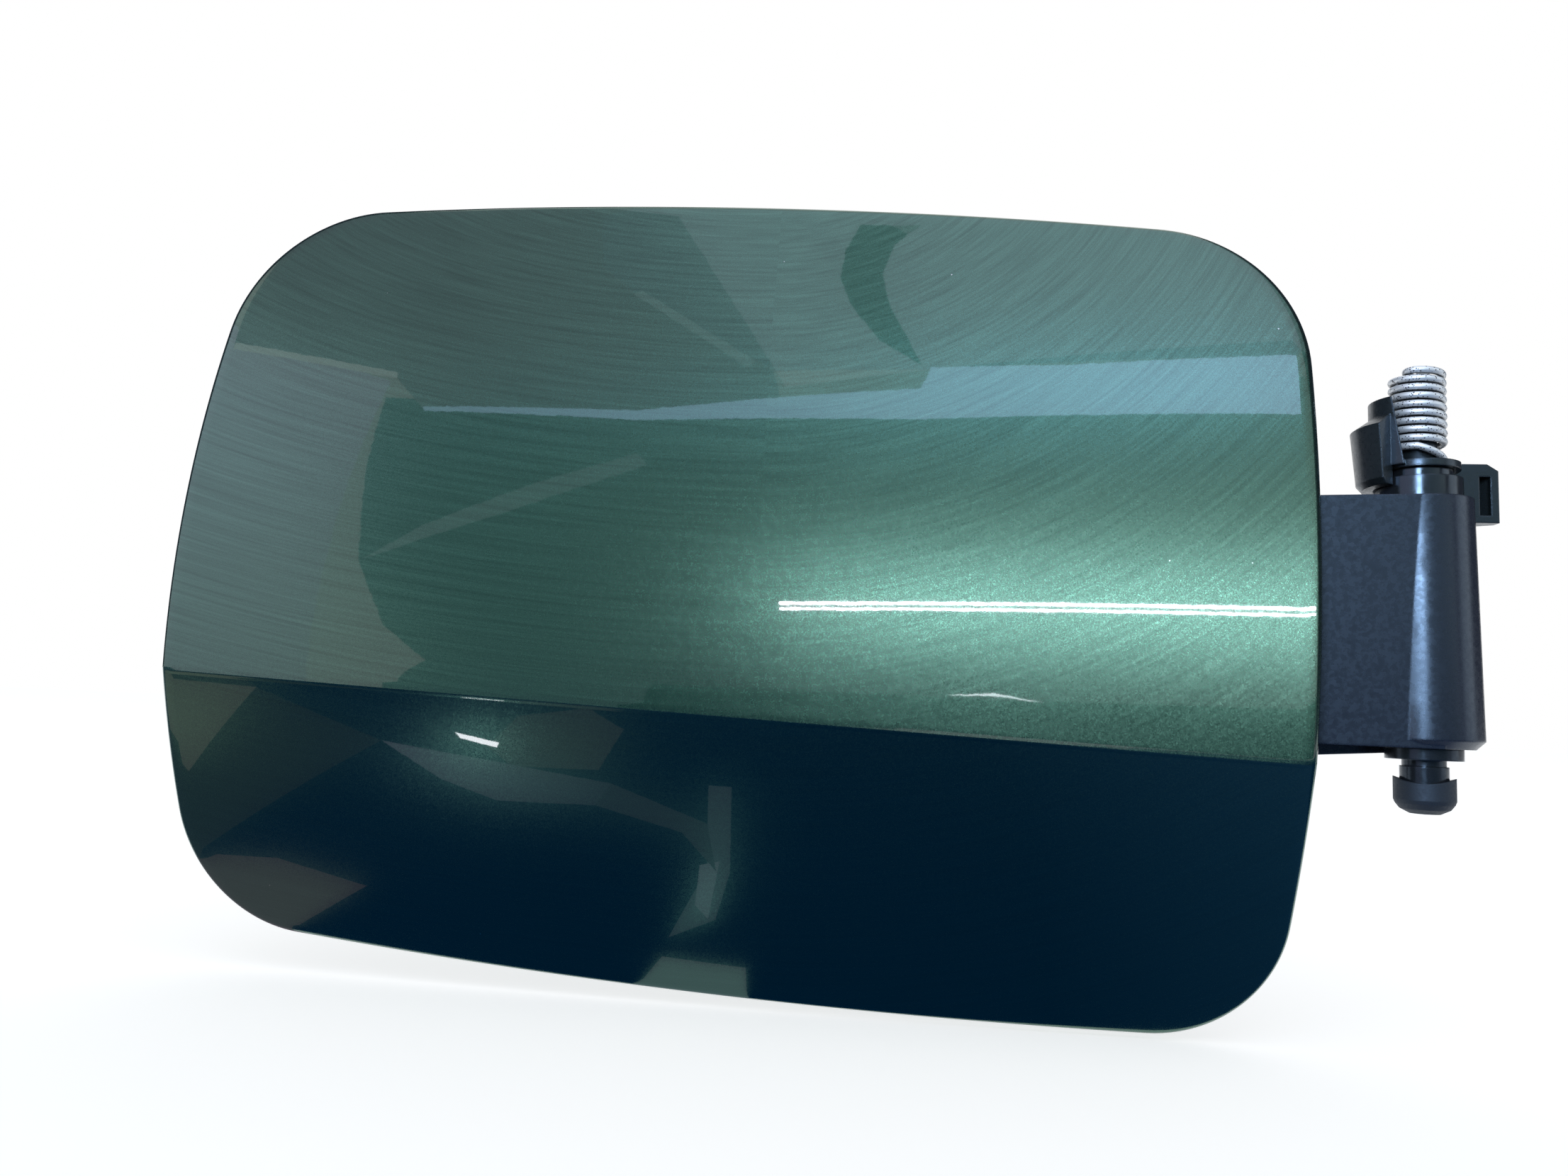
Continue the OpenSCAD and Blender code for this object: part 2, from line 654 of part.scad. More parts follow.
module arm_screw(i) {
    head = -foot_face + foot_t + boss_t;
    reach = foot_t + boss_t + sheet_gap + inner_t + nut_t + over / 2;
    color([0.5, 0.5, 0.5]) translate([SCREWS[i][0], head, SCREWS[i][1]]) rotate([-90, 0, 0]) difference() {
        union() {
            translate([0, 0, -reach]) cylinder(d = screw_d, h = reach + over);
            translate([0, 0, seat_gap]) cylinder(d = screw_head_d, h = head_rim);
            translate([0, 0, seat_gap])
                cylinder(d1 = screw_head_d - over, d2 = screw_head_d - 2 * over, h = screw_head_t);
        }
        translate([0, 0, screw_head_t - drive_depth]) cylinder(d = screw_d - over, h = through, $fn = 6);
    }
}
module captive_nut(i) {
    color([0.45, 0.45, 0.42]) translate([SCREWS[i][0], -seat_front - inner_t - sheet_gap, SCREWS[i][1]])
        rotate([90, 0, 0]) difference() {
            cylinder(d = nut_flats / cos(30), h = nut_t, $fn = 6);
            translate([0, 0, -over]) cylinder(d = screw_d + 2 * seat_gap, h = nut_t + 2 * over);
        }
}

// A place on the back of the pan, with +Y square to it.
module on_pan(u, w) {
    lean = w > 0 ? -asin(sin(upper_lean) + w / upper_radius) : asin(sin(lower_lean) - w / lower_radius);
    bow = face_radius - sqrt(face_radius * face_radius - u * u);
    on_panel() translate([u, pan_depth / cos(lean) + fall(w) + bow, w])
        rotate([0, 0, asin(u / face_radius)]) rotate([lean, 0, 0]) children();
}
module latch_striker() {
    base_gap = striker_base_h * striker_base_h / 8 / upper_radius + sheet_gap;
    color([0.06, 0.06, 0.065]) on_pan(-striker_reach, striker_height) difference() {
        union() {
            translate([-striker_base_w / 2, base_gap, -striker_base_h / 2])
                cube([striker_base_w, striker_t - base_gap, striker_base_h]);
            rotate([0, 0, 90]) rotate([90, 0, 0]) translate([0, 0, -striker_blade_t / 2])
                linear_extrude(striker_blade_t) blade_outline();
        }
        for (s = RIVETS) translate([0, -over, s * rivet_pitch / 2]) rotate([-90, 0, 0])
            cylinder(d = rivet_d, h = striker_t + 2 * over);
    }
}
module blade_outline() {
    half = striker_window / 2 + window_wall;
    difference() {
        polygon([[over, -half - over], [striker_len - blade_slope, -half],
                 [striker_len, -half + blade_chamfer], [striker_len, half - blade_chamfer],
                 [striker_len - blade_slope, half], [over, half + over]]);
        translate([striker_len - window_wall - over - striker_window, -striker_window / 2])
            square(striker_window);
    }
}
module striker_rivet(side) {
    color([0.6, 0.6, 0.6]) on_pan(-striker_reach, striker_height) translate([0, 0, side * rivet_pitch / 2])
        rotate([-90, 0, 0]) {
            translate([0, 0, -inner_t - over])
                cylinder(d = rivet_d - 2 * sheet_gap, h = inner_t + striker_t + 2 * over);
            translate([0, 0, striker_t + sheet_gap])
                cylinder(d1 = 2 * rivet_d - head_rim, d2 = rivet_d + over, h = over);
        }
}
// Rubber buffer: a button whose stem snaps through the pan.
module buffer(i) {
    stem = buffer_stem_d / 2 - 4 * sheet_gap;
    seat = 3 * sheet_gap;
    color([0.05, 0.05, 0.05]) on_pan(BUFFERS[i][0], BUFFERS[i][1]) rotate([-90, 0, 0]) rotate_extrude()
        polygon([[0, -inner_t - 1.5 * over], [stem, -inner_t - over], [stem + over / 2, -inner_t - 2 * seat],
                 [stem, -inner_t - seat], [stem, seat], [buffer_d / 2, seat],
                 [buffer_d / 2 - over / 2, buffer_h - over], [buffer_d / 2 - 1.5 * over, buffer_h],
                 [0, buffer_h]]);
}

outer_panel();
inner_panel();
hinge_arm();
hinge_pin();
upper_bush();
lower_bush();
end_cap();
spring_lever();
torsion_spring();
arm_screw(0);  // arm_screw_1
arm_screw(1);  // arm_screw_2
arm_screw(2);  // arm_screw_3
captive_nut(0);  // captive_nut_1
captive_nut(1);  // captive_nut_2
captive_nut(2);  // captive_nut_3
latch_striker();
striker_rivet(-1);  // striker_rivet_1
striker_rivet(1);  // striker_rivet_2
buffer(0);  // buffer_top
buffer(1);  // buffer_bottom
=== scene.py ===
# %% [markdown]
# # A painted fuel flap, dressed for its photograph
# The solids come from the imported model, in metres, on the hinge axis. This notebook
# keeps every one of them in place and gives it the finish of the real thing: metallic
# paint under clear coat, satin mouldings, a zinc coated spring. Two solids, the outer
# panel and the coil, are stood in for by finer meshes of the same size.

# %% Load the frame
import bmesh
import bpy
import json
import math
from mathutils import Matrix, Vector


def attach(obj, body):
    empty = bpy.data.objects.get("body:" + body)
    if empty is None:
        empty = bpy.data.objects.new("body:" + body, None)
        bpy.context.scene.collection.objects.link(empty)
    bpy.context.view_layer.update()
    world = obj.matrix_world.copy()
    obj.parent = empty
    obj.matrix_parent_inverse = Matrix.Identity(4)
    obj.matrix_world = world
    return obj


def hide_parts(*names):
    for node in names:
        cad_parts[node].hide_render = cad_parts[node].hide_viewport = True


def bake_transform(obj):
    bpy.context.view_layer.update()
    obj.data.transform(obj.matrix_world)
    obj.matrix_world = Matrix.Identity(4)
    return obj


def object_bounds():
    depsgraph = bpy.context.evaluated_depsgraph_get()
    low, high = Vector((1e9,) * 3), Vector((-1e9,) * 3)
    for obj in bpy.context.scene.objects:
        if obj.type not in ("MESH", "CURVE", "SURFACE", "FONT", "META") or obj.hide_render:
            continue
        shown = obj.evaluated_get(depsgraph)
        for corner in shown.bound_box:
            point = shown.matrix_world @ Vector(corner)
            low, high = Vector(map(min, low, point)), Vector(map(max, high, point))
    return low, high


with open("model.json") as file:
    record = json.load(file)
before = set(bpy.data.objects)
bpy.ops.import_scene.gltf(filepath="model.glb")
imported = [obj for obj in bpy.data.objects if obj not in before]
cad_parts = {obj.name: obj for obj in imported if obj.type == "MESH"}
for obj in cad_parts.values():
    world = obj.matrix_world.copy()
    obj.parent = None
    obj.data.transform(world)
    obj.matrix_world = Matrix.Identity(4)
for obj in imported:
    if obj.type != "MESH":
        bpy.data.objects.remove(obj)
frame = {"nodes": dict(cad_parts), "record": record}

cad_low, cad_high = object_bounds()
mm = 0.001
print("CAD box in mm:", [round(c / mm, 1) for c in (*cad_low, *cad_high)])

# %% [markdown]
# ## The camera
# The photograph was taken with a phone from close by, so near edges look clearly
# larger than far ones. The place and the three angles were worked out from the
# flap's own outline: the camera looks a little to the left and up, and is rolled
# by two degrees. It comes first, because everything else is judged through it.

# %% Camera at the photograph's angle
yaw, pitch, roll = (math.radians(degrees) for degrees in (7.584, 6.171, 2.372))
camera_at = Vector((-82.1, -204.2, 9.0)) * mm
photo_width_px, focal_length_px, sensor_mm = 2212, 1600, 36
nearest_seen = 10 * mm

forward = Vector((-math.sin(yaw) * math.cos(pitch), math.cos(yaw) * math.cos(pitch), math.sin(pitch)))
right = Matrix.Rotation(-roll, 3, forward) @ Vector((math.cos(yaw), math.sin(yaw), 0))
up = right.cross(forward)
camera = bpy.data.objects.new("camera", bpy.data.cameras.new("camera"))
turn = Matrix((right, up, -forward)).transposed().to_4x4()
camera.matrix_world = Matrix.Translation(camera_at) @ turn
camera.data.sensor_width = sensor_mm
camera.data.lens = sensor_mm * focal_length_px / photo_width_px
camera.data.clip_start = nearest_seen
bpy.context.scene.collection.objects.link(camera)
bpy.context.scene.camera = camera
bpy.context.scene.view_settings.view_transform = "Standard"
print("camera at", [round(c, 3) for c in camera.location], "lens", round(camera.data.lens, 1))

# %% [markdown]
# ## Helpers
# Node trees are built by a few short functions, so that a material reads as a list
# of what feeds what. A term of a sum or a mix is either a plain value or the output
# of another node.

# %% Helpers for node trees and meshes
def give(node, **values):
    """Sets a node's sockets and settings by name, with _ for a space."""
    for name, value in values.items():
        socket = node.inputs.get(name.replace("_", " "))
        if socket is None:
            setattr(node, name, value)
        else:
            socket.default_value = value
    return node


def add(tree, kind, **values):
    return give(tree.nodes.new(kind), **values)


def wire(tree, *pairs):
    for source, target in pairs:
        tree.links.new(source, target)


def feed(tree, socket, term):
    """Links the term to the socket where it is an output, and else sets it there."""
    if isinstance(term, bpy.types.NodeSocket):
        tree.links.new(term, socket)
    else:
        socket.default_value = term


def maths(tree, operation, *terms):
    node = add(tree, "ShaderNodeMath", operation=operation)
    for socket, term in zip(node.inputs, terms):
        feed(tree, socket, term)
    return node.outputs[0]


def mixed(tree, share, first, second):
    """A colour that runs from the first to the second as the share goes from 0 to 1."""
    node = add(tree, "ShaderNodeMix", data_type="RGBA")
    feed(tree, node.inputs["A"], first)
    feed(tree, node.inputs["B"], second)
    tree.links.new(share, node.inputs["Factor"])
    return node.outputs["Result"]


def opaque(color):
    return (*color, 1)


def linked_object(name, bm):
    """Turns a mesh in progress into an object of the scene."""
    mesh = bpy.data.meshes.new(name)
    bm.to_mesh(mesh)
    bm.free()
    made = bpy.data.objects.new(name, mesh)
    bpy.context.scene.collection.objects.link(made)
    return made


print("helpers ready, Blender", bpy.app.version_string)

# %% [markdown]
# ## Background and floor
# The photograph stands on plain white. The floor is a pale sheet just under the
# flap's lower edge, so it still takes the shadow, and the world behind it is white
# to the camera and to anything shiny. As a lamp, the world is weaker than that, or
# it would wash out the lamps that draw the paint.

# %% White world
world_light, world_tint = 0.55, (0.93, 0.97, 1)
white = (1, 1, 1)


def emptied(tree):
    tree.nodes.clear()
    return tree


def seen_or_mirrored(tree):
    """1 for a ray from the camera, a mirror or glass, and 0 for a ray that lights."""
    path = add(tree, "ShaderNodeLightPath")
    shiny = maths(tree, "MAXIMUM", path.outputs["Is Glossy Ray"], path.outputs["Is Transmission Ray"])
    return maths(tree, "MAXIMUM", path.outputs["Is Camera Ray"], shiny)


world = bpy.data.worlds.new("studio")
bpy.context.scene.world = world
world.use_nodes = True
tree = emptied(world.node_tree)
soft = add(tree, "ShaderNodeBackground", Color=opaque(world_tint), Strength=world_light)
bright = add(tree, "ShaderNodeBackground", Color=opaque(white), Strength=1)
chosen = add(tree, "ShaderNodeMixShader")
wire(tree, (seen_or_mirrored(tree), chosen.inputs[0]), (soft.outputs[0], chosen.inputs[1]),
     (bright.outputs[0], chosen.inputs[2]),
     (chosen.outputs[0], add(tree, "ShaderNodeOutputWorld").inputs[0]))
print("world of", world_light, "as a lamp")

# %% [markdown]
# The floor glows a little towards the camera and towards mirrors, which lifts it to
# the white of the photograph without lighting the flap from below.

# %% Pale floor
floor_size, floor_gap = 12, 0.4 * mm
floor_grey, floor_glow = (0.86, 0.86, 0.86), 0.55
up_axis = Vector((0, 0, 1))


def staged(name, bm):
    """Turns a mesh in progress into an object of the scene, used as a sheet of the stage."""
    sheet = linked_object(name, bm)
    return sheet


def stage_sheet(name, width, height, place, facing):
    """A flat sheet of the stage, turned and moved in its own mesh."""
    bm = bmesh.new()
    bmesh.ops.create_grid(bm, x_segments=1, y_segments=1, size=0.5)
    bmesh.ops.scale(bm, vec=(width, height, 1), verts=bm.verts)
    turn = facing.to_track_quat("Z", "Y").to_matrix().to_4x4()
    bmesh.ops.transform(bm, matrix=Matrix.Translation(place) @ turn, verts=bm.verts)
    return staged(name, bm)


floor_z = cad_low.z - floor_gap
floor = stage_sheet("floor", floor_size, floor_size, Vector((0, 0, floor_z)), up_axis)
floor_paint = bpy.data.materials.new("pale_floor")
floor_paint.use_nodes = True
tree = emptied(floor_paint.node_tree)
matt = add(tree, "ShaderNodeBsdfDiffuse", Color=opaque(floor_grey))
glow = add(tree, "ShaderNodeEmission", Color=opaque(white))
both = add(tree, "ShaderNodeAddShader")
wire(tree, (maths(tree, "MULTIPLY", seen_or_mirrored(tree), floor_glow), glow.inputs["Strength"]),
     (matt.outputs[0], both.inputs[0]), (glow.outputs[0], both.inputs[1]),
     (both.outputs[0], add(tree, "ShaderNodeOutputMaterial").inputs[0]))
floor.data.materials.append(floor_paint)
print("floor at z", round(floor_z / mm, 1), "mm")

# %% [markdown]
# ## Lamps and cards
# Clear coat is a mirror, so a car panel shows the room more than itself. In the
# photograph the upper part mirrors a pale ceiling with a bluish window strip under
# it, a double tube lamp draws the white streak, and everything below the crease
# mirrors a dark floor with a few pale things on it. A studio gets this with lamps
# and coloured cards. A lamp or a hung card is placed by compass and height angles
# as seen from the flap's middle, three to four metres out. A card on the floor has
# its corners in millimetres. The cards show in reflections only.

# %% Where a lamp hangs
flap_middle = Vector((-118, -15, 30)) * mm
studio_radius = 3.0


def toward(azimuth, elevation):
    """Direction out of the flap's middle: 0, 0 is straight out of the painted face."""
    a, e = math.radians(azimuth), math.radians(elevation)
    return Vector((math.sin(a) * math.cos(e), -math.cos(a) * math.cos(e), math.sin(e)))


def spanned(degrees, distance):
    """Width of a thing that fills so many degrees at a distance."""
    return 2 * distance * math.tan(math.radians(degrees / 2))


def soft_box(name, azimuth, elevation, wide, high, radiance, tint):
    """A rectangular lamp at two angles, which spans wide by high degrees."""
    light = bpy.data.lights.new(name, "AREA")
    light.shape = "RECTANGLE"
    light.size, light.size_y = spanned(wide, studio_radius), spanned(high, studio_radius)
    light.energy = radiance * math.pi * light.size * light.size_y
    light.color = tint
    lamp = bpy.data.objects.new(name, light)
    out = toward(azimuth, elevation)
    turn = out.to_track_quat("Z", "Y").to_matrix().to_4x4()
    lamp.matrix_world = Matrix.Translation(flap_middle + out * studio_radius) @ turn
    bpy.context.scene.collection.objects.link(lamp)
    print(name, "shines", round(light.energy, 1), "W")
    return lamp


tube_tint, ceiling_tint = (1, 0.94, 1.04), (0.82, 0.9, 1)
tube_lamp = soft_box("tube_lamp", 16, 13.8, 44, 0.24, radiance=150, tint=tube_tint)
tube_lamp_low = soft_box("tube_lamp_low", 16, 13.2, 44, 0.18, radiance=150, tint=tube_tint)
soft_box("ceiling_box", 22, 58, 50, 38, radiance=0.6, tint=ceiling_tint)

# %% [markdown]
# A card glows in its own colour, or in a run from one colour to another across or
# up its face, and is hidden from everything but reflections. Its outline may be
# hollow in places, so the face is filled inside a loop of edges.

# %% What a card is
HIDDEN_FROM = ("visible_camera", "visible_diffuse", "visible_shadow", "visible_transmission")
wall_far = 1.05
cards = []


def reflect_only(sheet, color, far_color=None, upright=False):
    """Lets a card glow in a colour or a run of colours, in reflections only."""
    paint = bpy.data.materials.new(sheet.name)
    paint.use_nodes = True
    tree = emptied(paint.node_tree)
    glow = add(tree, "ShaderNodeEmission", Color=opaque(color), Strength=1)
    wire(tree, (glow.outputs[0], add(tree, "ShaderNodeOutputMaterial").inputs[0]))
    if far_color:
        along = "Z" if upright else "X"
        reached = [getattr(vert.co, along.lower()) for vert in sheet.data.vertices]
        split = add(tree, "ShaderNodeSeparateXYZ")
        share = add(tree, "ShaderNodeMapRange", From_Min=min(reached), From_Max=max(reached))
        wire(tree, (add(tree, "ShaderNodeTexCoord").outputs["Object"], split.inputs[0]),
             (split.outputs[along], share.inputs["Value"]),
             (mixed(tree, share.outputs[0], opaque(color), opaque(far_color)), glow.inputs["Color"]))
    sheet.data.materials.append(paint)
    for ray in HIDDEN_FROM:
        setattr(sheet, ray, False)
    cards.append(sheet.name)


def outline_face(bm, corners, facing):
    """One flat face whose edges run from corner to corner, turned to where it faces."""
    verts = [bm.verts.new(corner) for corner in corners]
    edges = [bm.edges.new(ends) for ends in zip(verts, verts[1:] + verts[:1])]
    made = bmesh.ops.edgeloop_fill(bm, edges=edges)["faces"]
    if made[0].normal.dot(facing) < 0:
        bmesh.ops.reverse_faces(bm, faces=made)


def floor_shape(name, corners, color, lift, far_color=None):
    """A card on the floor, from its corners in mm; lift, in mm, orders cards that overlap."""
    bm = bmesh.new()
    outline_face(bm, [(x * mm, y * mm, floor_z + lift * mm) for x, y in corners], up_axis)
    reflect_only(staged(name, bm), color, far_color)


def hung_shape(name, corners, color, far_color=None, *, far, upright=False):
    """A hung card, from its corners' two angles; far is its distance in studio radii."""
    ways = [toward(*corner) for corner in corners]
    middle = sum(ways, Vector()).normalized()
    bm = bmesh.new()
    corner_places = [flap_middle + way * (studio_radius * far / way.dot(middle)) for way in ways]
    outline_face(bm, corner_places, -middle)
    reflect_only(staged(name, bm), color, far_color, upright)


def hung_wall(name, azimuth, elevation, wide, high, color):
    """A rectangular card at two angles, which spans wide by high degrees."""
    distance, out = studio_radius * wall_far, toward(azimuth, elevation)
    size = spanned(wide, distance), spanned(high, distance)
    reflect_only(stage_sheet(name, *size, flap_middle + out * distance, out), color)


print("cards are hidden from:", ", ".join(ray.removeprefix("visible_") for ray in HIDDEN_FROM))

# %% [markdown]
# The large cards of the background hang well behind the small ones, so that no
# card cuts through another. The ceiling has a left and a right half, a thin pale
# edge between them and a dark patch in front. The bluish strip of the window
# widens to the right.

# %% Cards overhead
hung_shape("window_band", [(-34.6, 28.4), (-18.8, 30.4), (3.4, 32.4), (31, 31.5), (33, 37), (15, 37.9),
                           (4.3, 37.9), (3.4, 35.7), (-8, 34.1), (-19, 31.4), (-34.8, 28.8)],
           (1.5, 2.3, 3.1), (2.9, 4.0, 5.8), far=1.03)
hung_shape("ceiling_card", [(-28.7, 50.6), (-26, 45.5), (-21.9, 43.1), (-8.8, 36.7), (4, 37.5), (33, 36.8),
                            (60, 36), (80, 70), (20, 84), (-50, 75)],
           (0.52, 0.58, 0.72), (0.78, 0.7, 0.95), far=1.3)
hung_shape("upper_left_card", [(-52, 30.4), (-37.8, 31.3), (-34.7, 28.6), (-18.8, 31), (-8, 34), (-8.8, 36.7),
                               (-21.9, 43.1), (-26, 45.5), (-28.7, 50.6), (-50, 75), (-80, 50)],
           (0.42, 0.44, 0.53), (0.55, 0.56, 0.66), far=1.25)
hung_shape("ceiling_edge", [(-22.4, 43.4), (-21.8, 43.9), (-10.4, 37.7), (-11, 37)],
           (0.9, 1.1, 1.2), far=1.03)
hung_shape("patch_edge", [(-52, 30.9), (-37.9, 31.6), (-37.7, 31), (-52, 30.3)],
           (1.6, 1.7, 1.7), far=1.03)
hung_shape("blob_card", [(-2.5, 53.1), (3.8, 53.2), (1.1, 51.1), (0, 47.9), (0.7, 44.5), (3.5, 38.1),
                         (-0.1, 40.7), (-2.8, 44.4), (-4, 47.4), (-3.7, 50.5)],
           (0.05, 0.05, 0.05), far=1.02)
print(len(cards), "cards overhead:", cards)

# %% [markdown]
# Straight in front of the paint stands the card that the middle field mirrors, dark
# on the left and pale on the right, with a slanting ray over it, a dark shade at its
# foot and a pale card to the left. A small, very bright card draws the glint on the
# crease, and two dark walls close the sides.

# %% Cards in front and at the sides
wall_color = (0.05, 0.06, 0.085)
hung_shape("middle_card", [(-37.5, 29), (-36.9, 22.9), (-35.5, 13.5), (-33.1, 7.7), (-30.1, 4.7),
                           (-32.7, 2.3), (-32.7, -3), (50, -3), (50, 32.5), (3.4, 33), (-18.8, 31)],
           (0.15, 0.3, 0.34), (1.0, 1.06, 0.98), far=1.3)
hung_shape("low_shade", [(-30, -4), (52, -4), (52, 4.2), (8, 4.2), (-24, 3.6)],
           (0.0, 0.03, 0.06), (0.0, 0.1, 0.06), far=1.2)
hung_shape("slanting_ray", [(-35.5, 13.5), (-27.3, 19.2), (-17.2, 25.9), (-18.2, 27), (-24.9, 23),
                            (-32, 17.5)],
           (0.6, 0.8, 0.86), far=1.1)
hung_shape("left_card", [(-37.4, -20), (-37.6, 30.6), (-75, 30.6), (-75, -20)],
           (0.62, 0.63, 0.64), (1.2, 1.12, 1.45), far=1.4, upright=True)
hung_shape("crease_glint", [(4.9, 4.4), (8, 4.8), (11.5, 4.1), (8, 4.5)], (14, 15, 16), far=1.02)
hung_wall("right_wall", 96, 28, 88, 75, wall_color)
hung_wall("left_wall", -112, 28, 72, 75, wall_color)
print(len(cards), "cards hang, the last is the", cards[-1])

# %% [markdown]
# The lower field leans down and mirrors the floor: a dark blue ground, paler on the
# right, with a grey corner on the left, a pale wedge that runs out in a tail, and an
# upright band. The glint card makes one small hard spot.

# %% Cards on the floor
floor_blue = (0.0, 0.048, 0.15)
floor_shape("floor_card", [(-2000, -2003), (1400, -2003), (1400, -3), (-2000, -3)], floor_blue, 0.2)
floor_shape("left_floor_card", [(-700, -30), (-245, -8), (-236, -94), (-312, -133), (-700, -400)],
            (0.08, 0.12, 0.18), 0.25)
floor_shape("right_floor_card", [(-60, -3), (-60, -300), (60, -300), (60, -3)],
            floor_blue, 0.25, (0.04, 0.12, 0.3))
floor_shape("left_grey_card", [(-420, -60), (-299, -75), (-276, -60), (-312, -133), (-420, -134)],
            (0.5, 0.5, 0.46), 0.3)
floor_shape("low_left_card", [(-260, 10), (-238, -26), (-223, -28), (-197, -23), (-205, -8), (-200, 10)],
            (0.32, 0.26, 0.32), 0.3)
floor_shape("wedge_card", [(-236, -94), (-205, -72), (-185, -63), (-160, -65), (-160, -78), (-195, -86)],
            (0.6, 0.7, 0.9), 0.3, (0.2, 0.28, 0.38))
floor_shape("wedge_tail", [(-160, -65), (-136, -55), (-125, -40), (-131, -60), (-160, -78)],
            (0.16, 0.22, 0.3), 0.3)
floor_shape("faint_patch", [(-206, -125), (-187, -138), (-169, -119), (-166, -86), (-190, -84), (-203, -96)],
            (0.2, 0.24, 0.28), 0.25)
floor_shape("upright_band", [(-135, -81), (-129, -81), (-122, -40), (-122, -24), (-130, -18), (-127, -40)],
            (0.28, 0.4, 0.5), 0.27)
floor_shape("upright_core", [(-129, -42), (-125, -44), (-123.5, -24), (-127, -28)], (0.6, 0.75, 0.9), 0.29)
floor_shape("low_patch", [(-130, -13), (-114, -12), (-112, -2), (-134, -2)], (0.45, 0.5, 0.58), 0.31)
floor_shape("glint_card", [(-218, -105.5), (-214, -101), (-200, -96), (-201, -100)], (18, 18, 19), 0.33)
print(len(cards), "cards in all")

# %% [markdown]
# ## Shader groups that several finishes share
# Dust and fine grain turn up on paint, plastic and steel alike, so each is a node
# group with named inputs, built once. The groups read Object coordinates, which are
# the part's own metres, so a pattern keeps its real size and stays where it is.
# Dust is a speck in the middle of some cells of a Voronoi pattern.

# %% Dust specks
FLOAT = "NodeSocketFloat"
mm_per_m = 1000


def new_group(name, inputs, outputs):
    """A node group of plain numbers: the group, what it is given and what it results in."""
    group = bpy.data.node_groups.new(name, "ShaderNodeTree")
    for label, value in inputs.items():
        group.interface.new_socket(label, in_out="INPUT", socket_type=FLOAT).default_value = value
    for label in outputs:
        group.interface.new_socket(label, in_out="OUTPUT", socket_type=FLOAT)
    print("group", name, "from", list(inputs), "to", outputs)
    return group, add(group, "NodeGroupInput").outputs, add(group, "NodeGroupOutput").inputs


dust, given, result = new_group("dust_specks", {"Spacing mm": 2.0, "Share": 0.3, "Speck mm": 0.12}, ["Mask"])
cells = add(dust, "ShaderNodeTexVoronoi", feature="F1")
speck_radius = maths(dust, "DIVIDE", given["Speck mm"], given["Spacing mm"])
in_speck = maths(dust, "LESS_THAN", cells.outputs["Distance"], speck_radius)
has_speck = maths(dust, "LESS_THAN", cells.outputs["Color"], given["Share"])
wire(dust, (add(dust, "ShaderNodeTexCoord").outputs["Object"], cells.inputs["Vector"]),
     (maths(dust, "DIVIDE", mm_per_m, given["Spacing mm"]), cells.inputs["Scale"]),
     (maths(dust, "MULTIPLY", in_speck, has_speck), result["Mask"]))

# %% [markdown]
# The grain is one cloud of noise that drives both the gloss and a fine height. Noise
# rarely leaves its middle range, so that range is spread over the whole of the gloss.

# %% Moulded grain
noise_low, noise_high = 0.3, 0.7

grain, given, result = new_group(
    "moulded_grain", {"Size mm": 0.5, "Roughness low": 0.3, "Roughness high": 0.45}, ["Roughness", "Height"])
noise = add(grain, "ShaderNodeTexNoise", Detail=3.0, Roughness=0.6)
spread = add(grain, "ShaderNodeMapRange", From_Min=noise_low, From_Max=noise_high)
wire(grain, (add(grain, "ShaderNodeTexCoord").outputs["Object"], noise.inputs["Vector"]),
     (maths(grain, "DIVIDE", mm_per_m, given["Size mm"]), noise.inputs["Scale"]),
     (noise.outputs["Fac"], spread.inputs["Value"]), (given["Roughness low"], spread.inputs["To Min"]),
     (given["Roughness high"], spread.inputs["To Max"]), (spread.outputs[0], result["Roughness"]),
     (noise.outputs["Fac"], result["Height"]))

# %% [markdown]
# A cloth leaves long curved marks round one centre, just above the panel. They are
# drawn into the colour as light arcs, the sheen such marks show round a lamp's
# highlight, so they are partly real marks and partly painted highlight. They are
# noise in polar coordinates, distance against angle. Left of the centre a distance
# counts for half, which draws the marks out. The crease lies about 127 mm below the
# centre, and under it, where the lower field faces away from the lamps, the painted
# sheen nearly fades away.

# %% Polishing rings, a painted sheen
sheen_centre_mm = (-112, 0, 135)
faded_mm, clear_mm = -130, -123
faded_strength, clear_strength = 0.12, 0.5
left_width, middle_tone = 0.5, 0.5

polish_sheen, given, result = new_group("polish_marks_sheen", {"Wide mm": 0.6, "Long": 4.0, "Contrast": 0.8}, ["Mask"])
centred = add(polish_sheen, "ShaderNodeVectorMath", operation="SUBTRACT")
centred.inputs[1].default_value = [c * mm for c in sheen_centre_mm]
split = add(polish_sheen, "ShaderNodeSeparateXYZ")
wire(polish_sheen, (add(polish_sheen, "ShaderNodeTexCoord").outputs["Object"], centred.inputs[0]),
     (centred.outputs[0], split.inputs[0]))
sideways, height = split.outputs["X"], split.outputs["Z"]
to_right, to_left = maths(polish_sheen, "MAXIMUM", sideways, 0), maths(polish_sheen, "MINIMUM", sideways, 0)
eased = maths(polish_sheen, "MULTIPLY_ADD", to_left, left_width, to_right)
flat = add(polish_sheen, "ShaderNodeCombineXYZ")
far = add(polish_sheen, "ShaderNodeVectorMath", operation="LENGTH")
wire(polish_sheen, (eased, flat.inputs["X"]), (height, flat.inputs["Z"]), (flat.outputs[0], far.inputs[0]))
far_mm = maths(polish_sheen, "MULTIPLY", far.outputs["Value"], mm_per_m)
polar = add(polish_sheen, "ShaderNodeCombineXYZ")
streaks = add(polish_sheen, "ShaderNodeTexNoise", Scale=1.0, Detail=3.0, Roughness=0.65)
